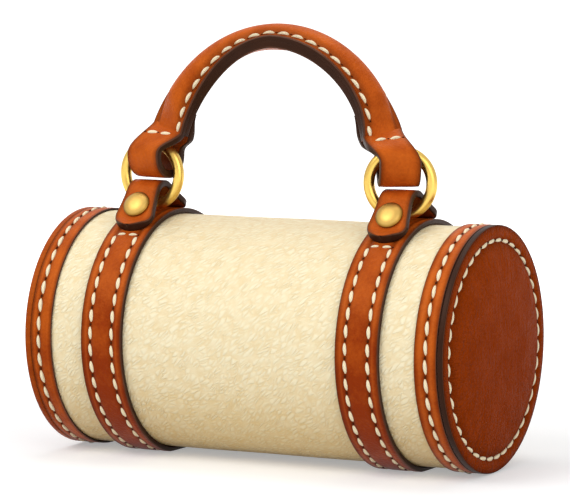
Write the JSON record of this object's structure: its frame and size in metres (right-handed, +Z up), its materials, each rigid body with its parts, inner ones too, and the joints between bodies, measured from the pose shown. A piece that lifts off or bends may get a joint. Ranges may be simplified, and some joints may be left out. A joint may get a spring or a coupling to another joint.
{
  "type": "barrel bag",
  "caption": "Small leather barrel bag with padded ends, two straps, brass rings and a padded top handle.",
  "frame": {"origin": "on the floor under the middle of the bag", "axes": "+X along the barrel to the right end, +Y to the back where the zip is, +Z up"},
  "size_m": [0.2398, 0.1258, 0.22],
  "materials": {
    "board": "fibre board",
    "brass": "satin brass",
    "cream_leather": "pebbled cream leather, satin",
    "foam": "foam padding",
    "lining_cloth": "plain woven cotton",
    "tan_leather": "smooth vegetable-tanned leather, waxed",
    "thread": "waxed cream thread",
    "zip_tape": "woven zip tape"
  },
  "bodies": {
    "bag": {"body_lining": "lining_cloth", "body_shell": "cream_leather", "body_stiffener": "board", "left_end_band": "tan_leather", "left_end_board": "board", "left_end_disc": "tan_leather", "left_end_foam": "foam", "left_end_lining": "lining_cloth", "left_ring_tab": "tan_leather", "left_rivet_caps": "brass", "left_rivet_posts": "brass", "left_strap": "tan_leather", "right_end_band": "tan_leather", "right_end_board": "board", "right_end_disc": "tan_leather", "right_end_foam": "foam", "right_end_lining": "lining_cloth", "right_ring_tab": "tan_leather", "right_rivet_caps": "brass", "right_rivet_posts": "brass", "right_strap": "tan_leather", "zip_lower_tape": "zip_tape", "zip_lower_teeth": "brass", "zip_stops": "brass", "zip_upper_tape": "zip_tape", "zip_upper_teeth": "brass"},
    "left_ring": {"left_ring": "brass"},
    "right_ring": {"right_ring": "brass"},
    "handle": {"handle_cover": "tan_leather", "handle_core": "foam", "handle_lining": "tan_leather", "handle_left_loop": "tan_leather", "handle_right_loop": "tan_leather"},
    "zip_slider_body": {"zip_slider": "brass"},
    "zip_pull_body": {"zip_pull": "brass"}
  },
  "joints": [
    {"name": "left_ring_swing", "type": "hinge", "parent": "bag", "child": "left_ring", "pos_m": [-0.0702, -0.01148, 0.1268], "axis": [1, 0, 0], "range_deg": [-6, 40]},
    {"name": "right_ring_swing", "type": "hinge", "parent": "bag", "child": "right_ring", "pos_m": [0.0702, -0.01148, 0.1268], "axis": [1, 0, 0], "range_deg": [-6, 40]},
    {"name": "handle_swing", "type": "hinge", "parent": "left_ring", "child": "handle", "pos_m": [-0.0702, -0.01148, 0.1586], "axis": [1, 0, 0], "range_deg": [-3, 10]},
    {"name": "zip_slide", "type": "slide", "parent": "bag", "child": "zip_slider_body", "axis": [-1, 0, 0], "range_m": [0, 0.084]},
    {"name": "zip_pull_hinge", "type": "hinge", "parent": "zip_slider_body", "child": "zip_pull_body", "pos_m": [0.04385, 0.03777, 0.11004], "axis": [0, 0.788, -0.6157], "range_deg": [0, 120]}
  ],
  "couplings": [
    {"joint": "right_ring_swing", "follows": "left_ring_swing", "ratio": 1}
  ]
}
